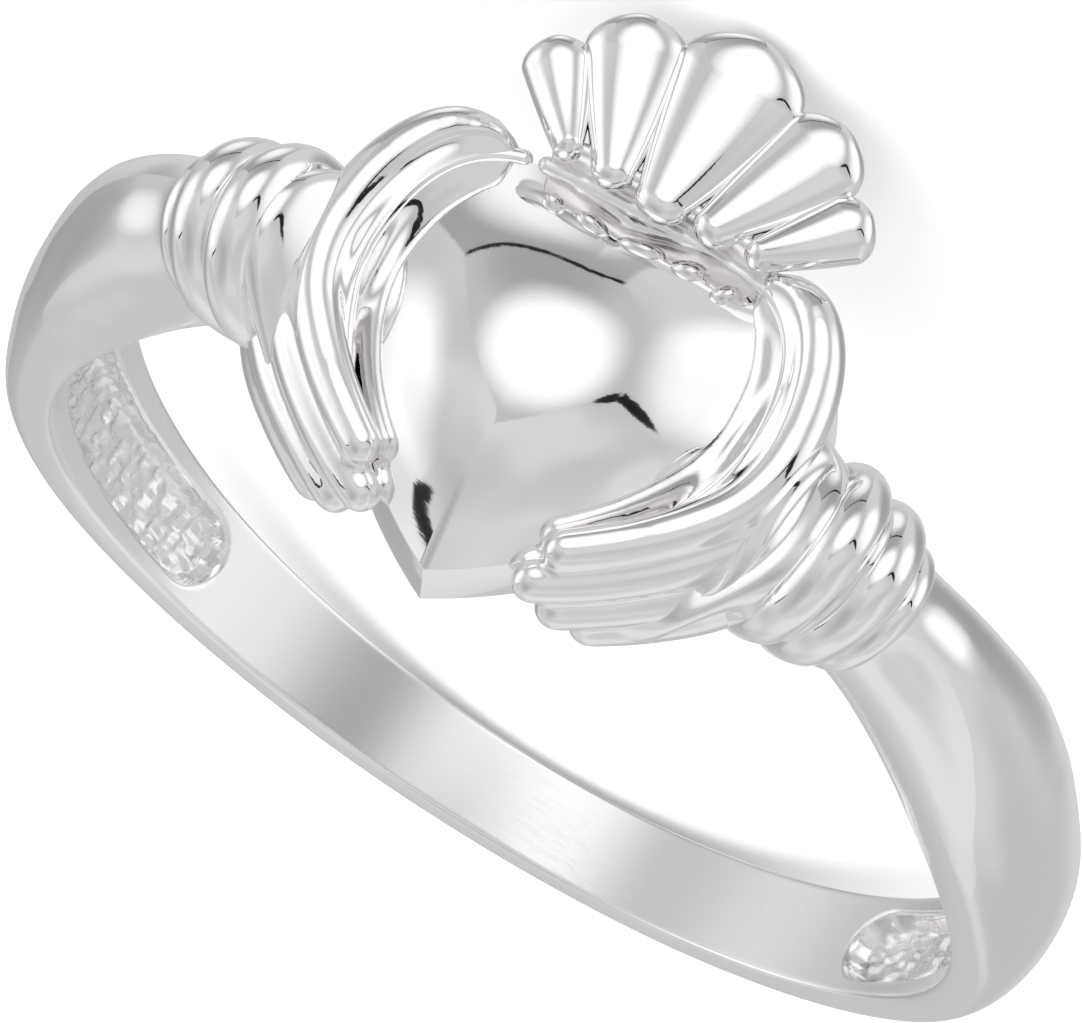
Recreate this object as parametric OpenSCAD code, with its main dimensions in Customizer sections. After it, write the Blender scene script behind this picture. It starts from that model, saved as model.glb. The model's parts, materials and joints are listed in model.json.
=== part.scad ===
// A claddagh ring cast in one piece: a tapering band whose shoulders end in ribbed cuffs,
// two hands that cup a puffed heart, and a five-lobed crown behind the heart.
// The ring lies on its side, on the tip of its crown and the back edge of its band.
// X runs across the hands, Y towards the head, Z up. Lengths are in millimetres.

/* [Finger] */
// Inner diameter of the band
bore_d = 17.3; // [14:0.1:22]

/* [Band] */
// Width of the band across its back
back_w = 1.8; // [1.5:0.05:2.6]
// Thickness of the band at its back
back_t = 0.95; // [0.8:0.05:1.5]
// Width of the band at its sides
side_w = 2.8; // [2.4:0.1:3.6]
// Thickness of the band at its sides
side_t = 1.25; // [1:0.05:1.8]
// Width of the neck that carries the cuffs
neck_w = 2.4; // [2.1:0.1:2.8]
// Thickness of the neck above the finger
neck_t = 3.7; // [3.2:0.05:4]
// Width of the palms beside the heart
palm_w = 5.2; // [4.4:0.1:5.8]
// Thickness of the palms above the finger
palm_t = 2.2; // [1.9:0.05:2.6]

/* [Pockets] */
// Width of the cast pocket inside each shoulder
pocket_w = 1.45; // [1:0.05:1.6]
// Depth of the cast pocket
pocket_depth = 0.4; // [0.2:0.05:0.6]
// Where the pocket starts, in degrees from the back of the band
pocket_from = 52; // [40:1:70]
// How far round the band the pocket runs, in degrees
pocket_sweep = 72; // [40:1:80]

/* [Cuffs] */
// Where the first rib stands, in degrees from the middle of the head
cuff_from = 25.8; // [25:0.2:27]
// Distance from rib to rib
rib_pitch = 0.82; // [0.74:0.02:0.96]
// Thickness of a rib
rib_d = 0.9; // [0.86:0.02:0.96]
// How far a rib stands out of the neck
rib_proud = 0.36; // [0.2:0.02:0.4]

/* [Heart] */
// Width of the heart
heart_w = 6.7; // [6:0.1:7.4]
// Distance of the heart's tip from the middle of the band
heart_tip = 3.5; // [3.1:0.1:4]
// Distance of the heart's notch from the middle of the band
heart_notch = 3.12; // [3:0.02:3.2]
// Height of the heart's foot above the finger
heart_seat = 0.65; // [0.5:0.05:0.9]
// Height of the wall round the heart
heart_wall = 0.8; // [0.6:0.05:1]
// Height of the dome above its wall
heart_puff = 1.85; // [1.2:0.05:2.2]
// How far the heart and hands are turned about the heart's tip, in degrees
heart_turn = 2.5; // [0:0.5:4]

/* [Hands] */
// Thickness of a finger
finger_d = 0.84; // [0.7:0.02:0.95]
// Height of one finger over the next
finger_step = 0.56; // [0.45:0.01:0.62]
// Thickness of a thumb
thumb_d = 0.5; // [0.4:0.02:0.6]
// Thickness of the rim between a hand and the heart
rim_d = 0.32; // [0.2:0.02:0.4]

/* [Crown] */
// Reach of the middle lobe from the middle of the band
crown_reach = 6.55; // [6:0.05:7.2]
// Distance of the crown's foot from the middle of the band
crown_foot = 3.42; // [3.35:0.01:3.5]
// Height of the crown's face above the finger at its foot
crown_lift = 2.4; // [2:0.05:2.8]
// How much higher the face is at the tips
crown_flare = 0.4; // [0:0.05:0.7]
// Thickness of a lobe at its tip
lobe_t = 0.95; // [0.7:0.05:1.2]
// Length of the headband at the crown's foot
headband_l = 3.9; // [3.4:0.1:4.2]
// Thickness of the headband
headband_t = 0.4; // [0.3:0.05:0.6]
// Thickness of the beaded strip before the headband
strip_d = 0.36; // [0.3:0.02:0.42]
// Number of beads along the strip
beads = 9; // [5:2:11]

/* [Hidden] */

bore_r = bore_d / 2;
// Sides of the bore in a mesh
bore_sides = 180;
// How far the cast blank reaches inside the bore before the bore is cut
blank_in = 0.5;
// Share of a side by which each ring of a bar is turned on from the last, so that no side is flat
bar_turn = 0.12;
// Height of the palm's hidden underside above the finger
palm_floor = 0.12;
// Height of the heart's rim above the finger
rim_h = heart_seat + heart_wall;
// How far before the crown's foot its lobes would meet
fan_depth = 2.27;
fan_z = crown_foot - fan_depth;
// How far a lobe's foot stands out, as a share of half its width there
foot_bulb = 0.8;
// How far the crown's foot bends towards the tips at the ends of the headband
headband_bow = 0.1;
// How far the headband reaches below the heart's rim, and how far it stays under the crown's face
headband_sink = 0.45;
headband_under = 0.3;
// Height of the strip's middle over the rim, and its distance before the crown's foot
strip_rise = 0.12;
strip_out = 0.1;
// Length of the strip as a share of the headband's, and how much a bead swells out of it
strip_share = 0.93;
bead_swell = 0.05;
// How far the heart's wall widens at its foot
wall_draft = 0.12;
// Share of the way out from which the dome runs straight down to its edge
flank = 0.85;
// Steps by which the angle of rest is halved in
rest_tries = 24;
cuff_angle = rib_pitch / (bore_r + neck_t) * 180 / PI;

// Shape of the blank round the finger. Columns: angle from the head, half width at the finger,
// greatest half width, height of the greatest width, height of the crest
BLANK = [
    [0, 0.42 * palm_w, 0.44 * palm_w, 0.22 * palm_t, 0.52 * palm_t],
    [8, 0.44 * palm_w, 0.46 * palm_w, 0.27 * palm_t, 0.6 * palm_t],
    [13, 0.46 * palm_w, 0.485 * palm_w, 0.36 * palm_t, 0.8 * palm_t],
    [17, 0.455 * palm_w, 0.485 * palm_w, 0.42 * palm_t, 0.98 * palm_t],
    [20, 0.4 * palm_w, 0.44 * palm_w, 0.5 * palm_t, 1.12 * palm_t],
    [23, 0.44 * neck_w, 0.64 * neck_w, 0.57 * neck_t, 0.97 * neck_t],
    [26, 0.2 * neck_w, 0.53 * neck_w, 0.6 * neck_t, neck_t],
    [31, 0.14 * neck_w, 0.47 * neck_w, 0.6 * neck_t, 0.97 * neck_t],
    [35, 0.13 * neck_w, 0.46 * neck_w, 0.57 * neck_t, 0.89 * neck_t],
    [40, 0.17 * neck_w, 0.49 * neck_w, 0.52 * neck_t, 0.85 * neck_t],
    [46, 0.25 * neck_w, 0.54 * neck_w, 0.44 * neck_t, 0.77 * neck_t],
    [53, 0.3 * side_w, 0.51 * side_w, 0.37 * neck_t, 0.65 * neck_t],
    [62, 0.4 * side_w, 0.53 * side_w, 0.8 * side_t, 1.5 * side_t],
    [75, 0.47 * side_w, 0.52 * side_w, 0.52 * side_t, 1.13 * side_t],
    [90, 0.465 * side_w, 0.5 * side_w, 0.44 * side_t, side_t],
    [110, 0.41 * side_w, 0.445 * side_w, 0.4 * side_t, 0.86 * side_t],
    [130, 0.55 * back_w, 0.6 * back_w, 0.44 * back_t, 1.04 * back_t],
    [150, 0.5 * back_w, 0.535 * back_w, 0.4 * back_t, 1.01 * back_t],
    [180, 0.465 * back_w, 0.5 * back_w, 0.37 * back_t, back_t]
];

// Fingers of one hand, from the index down. Each row: place along the heart's edge, distance out
// from it in finger thicknesses, height over the heart's rim in finger steps, thickness share
INDEX = [
    [1.2, 0.85, 0.5, 0.85], [1.32, 0.6, 0.65, 0.95], [1.46, 0.38, 0.8, 0.9],
    [1.58, 0.22, 0.9, 0.85], [1.68, 0.1, 0.95, 0.8]
];
MIDDLE = [
    [1.02, 1.05, -0.1, 0.6], [1.18, 1.2, 0, 0.9], [1.36, 0.98, 0.05, 0.95],
    [1.56, 0.66, 0.1, 0.92], [1.76, 0.34, 0.1, 0.85]
];
RING = [
    [1, 1.2, -0.9, 0.6], [1.18, 1.58, -0.85, 0.9], [1.36, 1.34, -0.85, 0.98],
    [1.55, 0.96, -0.85, 0.95], [1.71, 0.68, -0.9, 0.88]
];
LITTLE = [
    [0.98, 1.2, -1.7, 0.6], [1.15, 1.72, -1.75, 0.85], [1.33, 1.55, -1.8, 0.95],
    [1.5, 1.18, -1.85, 0.95], [1.64, 0.9, -1.9, 0.85]
];
FINGERS = [INDEX, MIDDLE, RING, LITTLE];
// The thumb, folded in against the heart: the same columns, in thumb thicknesses
THUMB = [
    [0.72, 0.45, 0.3, 0.5], [0.85, 0.5, 0.8, 0.9], [1, 0.5, 0.85, 1],
    [1.16, 0.46, 0.7, 0.9], [1.32, 0.36, 0.45, 0.65], [1.44, 0.28, 0.25, 0.4]
];
// The palm, along the heart's edge. Each row: place, reach out from the edge, height of its
// ridge over the rim, both as shares of the finger thickness
PALM = [
    [0.5, 0.3, 0.15], [0.54, 0.7, 0.6], [0.62, 0.88, 0.9], [0.75, 0.98, 1], [0.9, 1.2, 1],
    [1.02, 1.55, 0.95], [1.14, 1.75, 0.9], [1.28, 1.45, 0.85], [1.42, 0.95, 0.8],
    [1.54, 0.62, 0.7], [1.62, 0.4, 0.5]
];
// The rim: where it starts and ends along the heart's edge
RIM = [0.5, 1.7];
// Crown lobes: angle from the middle, reach and half width as shares, drop of the face
LOBES = [
    [-37, 0.89, 0.11, 0.25], [-21.5, 0.96, 0.155, 0.1], [0, 1, 0.205, 0],
    [21.5, 0.96, 0.155, 0.1], [37, 0.89, 0.11, 0.25]
];

// Slope of a table's column c at row k, level at both ends
function slope(t, k, c) =
    k == 0 || k == len(t) - 1 ? 0 : (t[k + 1][c] - t[k - 1][c]) / (t[k + 1][0] - t[k - 1][0]);

// Smooth curve through a table's column c at place x
function curve(t, x, c) =
    let (
        k = max([for (i = [0:len(t) - 2]) if (i == 0 || t[i][0] <= x) i]),
        step = t[k + 1][0] - t[k][0],
        s = (x - t[k][0]) / step,
        s2 = s * s,
        s3 = s2 * s
    )
    (2 * s3 - 3 * s2 + 1) * t[k][c] + (3 * s2 - 2 * s3) * t[k + 1][c]
    + (s3 - 2 * s2 + s) * step * slope(t, k, c) + (s3 - s2) * step * slope(t, k + 1, c);

// A row of control points by number, as a table that curve() reads
function numbered(rows) = [for (i = [0:len(rows) - 1]) concat([i], rows[i])];

function unit(v) = v / norm(v);
function bezier(a, b, c, d, t) =
    pow(1 - t, 3) * a + 3 * pow(1 - t, 2) * t * b + 3 * (1 - t) * t * t * c + t * t * t * d;

// Point at an angle round the finger, at a height above it and a place along its axis
function around(angle, height, along) =
    [(bore_r + height) * sin(angle), (bore_r + height) * cos(angle), along];

// Outline of the blank at one angle, from the finger over the crest and back to the finger
function blank_outline(angle, under = 2, over = 5) =
    let (
        a = abs(angle > 180 ? 360 - angle : angle),
        foot = curve(BLANK, a, 1),
        belly = curve(BLANK, a, 2),
        belly_h = curve(BLANK, a, 3),
        crest = curve(BLANK, a, 4),
        low = [for (i = [0:under - 1]) let (q = i / under)
            [foot + (belly - foot) * q * (1.6 - 0.6 * q), belly_h * q]],
        high = [for (i = [0:over]) let (q = 90 * i / over)
            [belly * cos(q), belly_h + (crest - belly_h) * sin(q)]]
    )
    concat(
        low,
        high,
        [for (i = [over - 1:-1:0]) [-high[i][0], high[i][1]]],
        [for (i = [under - 1:-1:0]) [-low[i][0], low[i][1]]]
    );

// Angles at which the blank's outline is taken, closer together across the head
BLANK_ANGLES = concat([for (a = [0:3:60]) a], [for (a = [66:6:294]) a], [for (a = [300:3:357]) a]);

// The outline carried straight on past the finger's surface, so that the bore can cut it
function blank_ring(angle) =
    let (
        outline = blank_outline(angle),
        n = len(outline) - 1,
        foot = outline[0],
        next = outline[1],
        inner = foot[0] - (next[0] - foot[0]) * blank_in / next[1]
    )
    concat(
        [around(angle, -blank_in, inner)],
        [for (i = [1:n - 1]) around(angle, outline[i][1], outline[i][0])],
        [around(angle, -blank_in, -inner)]
    );

// Half of the heart's edge: 0 is the notch, 1 the side, 2 the tip. Z points to the tip
function heart_edge(q) =
    let (
        w = heart_w / 2,
        notch = [0, -heart_notch],
        side = [w, -0.26 * heart_tip],
        tip = [0, heart_tip]
    )
    q <= 1
        ? bezier(notch, [0.3 * w, -1.03 * heart_notch], [0.985 * w, -1.24 * heart_notch], side, q)
        : bezier(side, [1.005 * w, 0.17 * heart_tip], [0.6 * w, 0.68 * heart_tip], tip, q - 1);

function heart_out(q) =
    let (d = heart_edge(min(q + 0.01, 2)) - heart_edge(q - 0.01))
    unit([d[1], -d[0]]);

// Skin over rings of points, with flat ends, or joined end to end where closed
module skin(rings, closed = false) {
    n = len(rings[0]);
    last = len(rings) - (closed ? 1 : 2);
    faces = [
        for (i = [0:last]) for (j = [0:n - 1])
            let (a = i * n, b = ((i + 1) % len(rings)) * n, k = (j + 1) % n)
            each [[a + j, a + k, b + k], [a + j, b + k, b + j]]
    ];
    ends = closed ? [] : [
        [for (j = [n - 1:-1:0]) j],
        [for (j = [0:n - 1]) (len(rings) - 1) * n + j]
    ];
    polyhedron([for (r = rings) each r], concat(faces, ends), convexity = 6);
}

// Rings of a round bar along a path. Each row of the path is a point, half width, half height
function bar_rings(path, sides, up) = [
    for (i = [0:len(path) - 1])
        let (
            ahead = path[min(i + 1, len(path) - 1)][0],
            behind = path[max(i - 1, 0)][0],
            t = unit(ahead - behind),
            s = unit(cross(t, up)),
            u = cross(s, t)
        )
        [for (j = [0:sides - 1]) let (q = 360 * (j + bar_turn * i) / sides)
            path[i][0] + path[i][1] * cos(q) * s + path[i][2] * sin(q) * u]
];

// A path with its end closed by three shrinking rows, as a round fingertip is
function rounded_end(path, reach = 1) =
    let (
        n = len(path) - 1,
        t = unit(path[n][0] - path[n - 1][0]),
        r = reach * path[n][1]
    )
    concat(path, [for (q = [35, 62, 82])
        [path[n][0] + r * sin(q) * t, path[n][1] * cos(q), path[n][2] * cos(q)]]);

function turned(path) = [for (i = [len(path) - 1:-1:0]) path[i]];
function rounded(path) = turned(rounded_end(turned(rounded_end(path))));

// Path of a finger or thumb beside the heart, from its table
function digit_path(rows, d, steps) =
    let (t = numbered(rows))
    [for (i = [0:steps])
        let (
            x = i * (len(rows) - 1) / steps,
            q = curve(t, x, 1),
            p = heart_edge(q) + curve(t, x, 2) * d * heart_out(q),
            r = curve(t, x, 4) * d / 2
        )
        [[p[0], bore_r + rim_h + curve(t, x, 3) * finger_step, p[1]], r, r]];

module digit(rows, d, steps = 7) {
    skin(bar_rings(rounded_end(digit_path(rows, d, steps)), 8, [0, 1, 0]));
}

// Across the palm: share of the reach, then share of the ridge's height above the rim, or below it
// share of the rim's height above the palm's underside
PALM_PROFILE = [
    [-0.1, 0], [0, 0.3], [0.14, 0.6], [0.34, 0.9], [0.55, 1],
    [0.75, 0.75], [0.9, 0.15], [1, -0.92]
];
PALM_STEPS = 15;

// The palm is a ridge along the heart's edge that slopes out to the cuff and down to the finger
module palm() {
    skin([for (i = [0:PALM_STEPS])
        let (
            q = PALM[0][0] + (PALM[len(PALM) - 1][0] - PALM[0][0]) * i / PALM_STEPS,
            reach = curve(PALM, q, 1) * finger_d,
            ridge = curve(PALM, q, 2) * finger_d,
            edge = heart_edge(q),
            out = heart_out(q),
            across = [for (c = PALM_PROFILE)
                [c[0] * reach, bore_r + rim_h + c[1] * (c[1] > 0 ? ridge : rim_h - palm_floor)]],
            low = bore_r + palm_floor
        )
        [for (c = concat([[across[0][0], low]], across, [[reach, low]]))
            let (p = edge + c[0] * out) [p[0], c[1], p[1]]]]);
}

// A thin rim along the heart's wall, under the thumb and the index finger
module rim() {
    path = [for (i = [0:13])
        let (q = RIM[0] + (RIM[1] - RIM[0]) * i / 13, p = heart_edge(q) + 0.2 * rim_d * heart_out(q))
        [[p[0], bore_r + rim_h + 0.3 * rim_d, p[1]], rim_d / 2, rim_d / 2]];
    skin(bar_rings(rounded_end(path), 6, [0, 1, 0]));
}

module hand() {
    palm();
    rim();
    for (finger = FINGERS)
        digit(finger, finger_d);
    digit(THUMB, thumb_d);
}

// One rib: a bar that follows the neck's outline down to its foot, sunk so that it stands proud
// by its own measure
module rib(angle, d, proud) {
    outline = blank_outline(angle, 2, 7);
    n = len(outline) - 1;
    sunk = d / 2 - proud;
    path = [
        for (i = [1:n - 1])
            let (
                t = unit(outline[i + 1] - outline[i - 1]),
                p = outline[i] - sunk * [t[1], -t[0]]
            )
            [around(angle, p[1], p[0]), d / 2, d / 2]
    ];
    skin(bar_rings(rounded(path), 8, [cos(angle), -sin(angle), 0]));
}

module cuff() {
    rib(cuff_from, rib_d, rib_proud);
    rib(cuff_from + cuff_angle, rib_d, rib_proud);
    rib(cuff_from + 1.8 * cuff_angle, 0.6 * rib_d, 0.35 * rib_proud);
}

// Height of the dome over the rim at a share of the way out to the edge: round, then straight
// down its flank with the slope that it has there
function puff(s) =
    let (t = min(s, flank), left = 1 - pow(t, 2.2))
    heart_puff * (pow(left, 0.8) - (s - t) * 1.76 * pow(t, 1.2) * pow(left, -0.2));

module heart() {
    half = [for (i = [0:13]) i / 13, for (i = [1:14]) 1 + i / 14];
    edge = concat(
        [for (q = half) heart_edge(q)],
        [for (i = [len(half) - 2:-1:1]) let (p = heart_edge(half[i])) [-p[0], p[1]]]
    );
    shares = [1, 0.93, 0.85, 0.74, 0.6, 0.44, 0.26, 0.1];
    level = bore_r + heart_seat;
    foot = [for (p = edge) let (q = p + wall_draft * unit(p)) [q[0], level, q[1]]];
    mean = 0.25 * (heart_w + heart_tip + heart_notch);
    skin(concat(
        [foot],
        [for (s = shares) [for (p = edge)
            let (flat = s * (s * s * p + (1 - s * s) * mean * unit(p)))
            [flat[0], level + heart_wall + puff(s), flat[1]]]]
    ));
}

// Face height of the crown at a share of the way from its foot to its tips
function crown_face(s) = bore_r + crown_lift + crown_flare * s * s;

// Path of one lobe, measured from the fan's centre
function lobe_path(lobe) =
    let (
        full = crown_reach - fan_z,
        foot = (crown_foot - fan_z) / cos(lobe[0]),
        half = lobe[2] * full,
        reach = lobe[1] * full - 0.75 * half
    )
    [for (i = [0:7])
        let (
            s = i / 7,
            r = foot + (reach - foot) * s,
            t = lobe_t * (0.7 + 0.3 * s),
            w = half * (0.42 + 0.58 * pow(s, 0.9))
        )
        [[r * sin(lobe[0]), crown_face(s) - lobe[3] * s - t / 2, -fan_z - r * cos(lobe[0])], w, t / 2]];

function lobe_rings(lobe) =
    let (
        path = turned(rounded_end(turned(lobe_path(lobe)), foot_bulb)),
        n = len(path) - 1,
        t = unit(path[n][0] - path[n - 1][0]),
        r = 0.75 * path[n][1],
        tip = [for (q = [30, 55, 76])
            [path[n][0] + r * sin(q) * t, path[n][1] * cos(q), path[n][2] * pow(cos(q), 0.6)]]
    )
    bar_rings(concat(path, tip), 12, [0, 1, 0]);

// The headband stands under the feet of the lobes, with the beaded strip between it and the heart
module headband() {
    half = headband_l / 2;
    low = bore_r + rim_h - headband_sink;
    high = bore_r + crown_lift - headband_under;
    // A point of the crown's foot
    function foot(share, level, out) =
        [half * share, level, out - crown_foot + headband_bow * share * share];
    wall = [for (i = [-8:8])
        [foot(i / 8, (low + high) / 2, -0.45 * headband_t), headband_t / 2, (high - low) / 2]];
    skin(bar_rings(wall, 10, [0, 1, 0]));
    strip = [for (i = [-beads:beads])
        let (r = strip_d / 2 * (1 + bead_swell * cos(180 * i)))
        [foot(strip_share * i / beads, bore_r + rim_h + strip_rise, strip_out), r, r]];
    skin(bar_rings(rounded(strip), 7, [0, 1, 0]));
}

module crown() {
    for (lobe = LOBES)
        skin(lobe_rings(lobe));
    headband();
}

module both_sides() {
    children();
    mirror([1, 0, 0]) children();
}

// The heart and hands stand a little turned in the ring
module turned_head() {
    translate([0, 0, heart_tip])
        rotate([0, heart_turn, 0])
            translate([0, 0, -heart_tip])
                children();
}

// The casting before its bore and pockets are cut
module casting() {
    skin([for (a = BLANK_ANGLES) blank_ring(a)], closed = true);
    crown();
    both_sides() cuff();
    turned_head() {
        heart();
        both_sides() hand();
    }
}

// A recess inside one shoulder, with round ends
module pocket() {
    middle = 180 - pocket_from - pocket_sweep / 2;
    half = pocket_w / 2;
    // Angle that the round end takes up
    cap = half / bore_r * 180 / PI;
    reach = pocket_sweep / 2 + cap;
    steps = concat(
        [for (q = [84, 60, 36, 15]) [-reach + cap * (1 - sin(q)), cos(q)]],
        [for (i = [0:12]) [-pocket_sweep / 2 + pocket_sweep * i / 12, 1]],
        [for (q = [15, 36, 60, 84]) [reach - cap * (1 - sin(q)), cos(q)]]
    );
    skin([for (s = steps) [
        around(middle + s[0], -1.5 * blank_in, half * s[1]),
        around(middle + s[0], pocket_depth, half * s[1]),
        around(middle + s[0], pocket_depth, -half * s[1]),
        around(middle + s[0], -1.5 * blank_in, -half * s[1])
    ]]);
}

// A point's height, and its place towards the head, once the ring is tilted
function level_of(p, tilt) = p[1] * sin(tilt) + p[2] * cos(tilt);
function place_of(p, tilt) = p[1] * cos(tilt) - p[2] * sin(tilt);
function low_of(points, tilt) = min([for (p = points) level_of(p, tilt)]);
back_points = [for (a = [168:6:192]) each blank_ring(a)];
crown_points = [for (lobe = LOBES) each [for (r = lobe_rings(lobe)) each r]];

// Tilt at which the crown's tip and the back of the band touch the same level
function rest_tilt(low, high, tries) =
    let (mid = (low + high) / 2)
    tries == 0
        ? mid
        : low_of(crown_points, mid) < low_of(back_points, mid)
            ? rest_tilt(mid, high, tries - 1)
            : rest_tilt(low, mid, tries - 1);
tilt = rest_tilt(0, 45, rest_tries);
rest_z = low_of(crown_points, tilt);
front_y = max([for (p = crown_points) place_of(p, tilt)]);
back_y = min([for (p = back_points) place_of(p, tilt)]);

module ring() {
    color("silver")
        translate([0, -(front_y + back_y) / 2, -rest_z])
            rotate([tilt, 0, 0])
                difference() {
                    resize([0, 0, 0])
                        difference() {
                            casting();
                            both_sides() pocket();
                        }
                    rotate([0, 0, -90])
                        cylinder(h = 4 * bore_r, r = bore_r, center = true, $fn = bore_sides);
                }
}

ring();
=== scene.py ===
"""The looks of a claddagh ring in polished silver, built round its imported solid.

The classes hold their sizes in millimetres, in the ring's own frame: X runs across the hands, Y from
the finger out through the head, Z towards the tip of the heart, with the origin in the middle of the
bore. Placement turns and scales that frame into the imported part's, where the ring lies on its side.
"""
import json
import logging
import math
from dataclasses import dataclass, field
from enum import Enum
from typing import Sequence

import bmesh
import bpy
import numpy as np
from mathutils import Matrix, Vector


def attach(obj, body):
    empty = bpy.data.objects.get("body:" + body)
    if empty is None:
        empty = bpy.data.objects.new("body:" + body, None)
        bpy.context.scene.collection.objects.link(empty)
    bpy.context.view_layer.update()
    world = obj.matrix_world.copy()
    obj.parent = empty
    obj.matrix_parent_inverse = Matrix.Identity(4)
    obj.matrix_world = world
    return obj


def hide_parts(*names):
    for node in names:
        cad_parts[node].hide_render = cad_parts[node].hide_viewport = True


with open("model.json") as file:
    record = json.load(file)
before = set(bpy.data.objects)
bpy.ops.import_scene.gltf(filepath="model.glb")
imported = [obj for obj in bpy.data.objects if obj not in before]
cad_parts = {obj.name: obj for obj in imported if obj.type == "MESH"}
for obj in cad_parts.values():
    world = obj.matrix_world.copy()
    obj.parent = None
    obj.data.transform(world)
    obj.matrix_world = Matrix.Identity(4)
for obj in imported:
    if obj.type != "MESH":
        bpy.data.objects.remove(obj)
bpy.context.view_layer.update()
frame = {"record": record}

BODY = "root"
NODE = "ring"
MM = 0.001
IMAGE = (1083, 1023)

Triple = tuple[float, float, float]
BMesh = bmesh.types.BMesh

log = logging.getLogger("claddagh")


class Side(Enum):
    """The two sides of the head, as the sign of X."""

    LEFT = -1
    RIGHT = 1


# ---- Frame and curves


@dataclass(frozen=True)
class Placement:
    """Where the ring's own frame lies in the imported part's."""

    centre: Vector
    tilt: float
    bore_r: float

    @staticmethod
    def from_record(record: dict) -> "Placement":
        """Reads the place of the bore.

        Args:
            record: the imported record, whose bore mount gives centre, axis and radius.

        Returns:
            The placement of the ring's frame.
        """
        mount = next(m for m in record["mounts"] if m["kind"] == "bore")
        axis = Vector(mount["axis"])
        if axis.z < 0:
            axis.negate()
        return Placement(Vector(mount["pos_m"]), math.atan2(-axis.y, axis.z), mount["dims"]["r_mm"])

    def matrix(self) -> Matrix:
        """The matrix from millimetres in the ring's frame to metres in the part's."""
        turn = Matrix.Rotation(self.tilt, 4, "X")
        return Matrix.Translation(self.centre) @ turn @ Matrix.Scale(MM, 4)


class Table:
    """A smooth curve through rows of numbers, level at both ends."""

    def __init__(self, rows: Sequence[Sequence[float]]) -> None:
        """Keeps the rows and the slope at each.

        Args:
            rows: rows whose first number is the place along the curve.
        """
        self.rows = np.array(rows, float)
        slopes = np.zeros_like(self.rows)
        run = self.rows[2:, :1] - self.rows[:-2, :1]
        slopes[1:-1] = (self.rows[2:] - self.rows[:-2]) / run
        self.slopes = slopes

    def at(self, place: float) -> np.ndarray:
        """Reads the curve.

        Args:
            place: a place along the curve.

        Returns:
            All columns at that place.
        """
        rows, slopes = self.rows, self.slopes
        k = int(np.clip(np.searchsorted(rows[:, 0], place, side="right") - 1, 0, len(rows) - 2))
        step = rows[k + 1, 0] - rows[k, 0]
        s = (place - rows[k, 0]) / step
        ease = s * s * (3 - 2 * s)
        return (
            (1 - ease) * rows[k] + ease * rows[k + 1]
            + s * (1 - s) ** 2 * step * slopes[k] - s * s * (1 - s) * step * slopes[k + 1]
        )


def numbered(rows: Sequence[Sequence[float]]) -> list[list[float]]:
    """Puts each row's number before it, so that Table can read control points."""
    return [[i, *row] for i, row in enumerate(rows)]


def unit(v: np.ndarray) -> np.ndarray:
    """The vector at length 1."""
    return v / np.linalg.norm(v)


def bezier(a: np.ndarray, b: np.ndarray, c: np.ndarray, d: np.ndarray, t: float) -> np.ndarray:
    """A point of a cubic curve."""
    s = 1 - t
    return s ** 3 * a + 3 * s * s * t * b + 3 * s * t * t * c + t ** 3 * d


def smooth_step(low: float, high: float, x: np.ndarray | float) -> np.ndarray | float:
    """0 below low, 1 above high, with a soft passage between."""
    t = np.clip((x - low) / (high - low), 0, 1)
    return t * t * (3 - 2 * t)


def grain(points: np.ndarray, size: float, seed: int) -> np.ndarray:
    """A smooth random height over points, from a few layers of crossed waves.

    Args:
        points: an array of points, in millimetres.
        size: the width of one grain.
        seed: the number that fixes the pattern.

    Returns:
        A height from about -1 to 1 for each point.
    """
    waves, swing = 28, 1.6
    finest, widest = 0.7, 1.8
    rng = np.random.default_rng(seed)
    total = np.zeros(points.shape[:-1])
    for _ in range(waves):
        direction = unit(rng.normal(size=3))
        pitch = size * rng.uniform(finest, widest)
        total += np.sin(points @ direction * (2 * math.pi / pitch) + rng.uniform(0, 2 * math.pi))
    return total * (swing / math.sqrt(waves * 2))


# ---- Meshes


def draped(net: np.ndarray, closed_along: bool = False) -> BMesh:
    """Bends a flat grid over a net of points, closed round each of its rings.

    Args:
        net: points in rings, as rings x points x 3.
        closed_along: whether the last ring meets the first.

    Returns:
        A closed shell with its faces outwards. Open ends are filled.
    """
    rings, around = net.shape[:2]
    rows = rings if closed_along else rings - 1
    bm = bmesh.new()
    bmesh.ops.create_grid(bm, x_segments=around, y_segments=rows, size=1.0)
    for vert in bm.verts:
        column = round((vert.co.x + 1) / 2 * around) % around
        row = round((vert.co.y + 1) / 2 * rows) % rings
        vert.co = net[row, column]
    bmesh.ops.remove_doubles(bm, verts=bm.verts, dist=1e-5)
    edge = [e for e in bm.edges if e.is_boundary]
    if edge:
        bmesh.ops.holes_fill(bm, edges=edge, sides=0)
    bmesh.ops.recalc_face_normals(bm, faces=bm.faces)
    return bm


def merged(shells: Sequence[BMesh]) -> BMesh:
    """Gathers shells into one mesh and frees them."""
    whole = bmesh.new()
    for shell in shells:
        part = bpy.data.meshes.new("part")
        shell.to_mesh(part)
        shell.free()
        whole.from_mesh(part)
        bpy.data.meshes.remove(part)
    return whole


def flip(bm: BMesh) -> None:
    """Carries a mesh to the other side of the head, with its faces outwards."""
    bmesh.ops.transform(bm, matrix=Matrix.Scale(-1, 4, Vector((1, 0, 0))), verts=bm.verts)
    bmesh.ops.reverse_faces(bm, faces=bm.faces)


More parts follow.
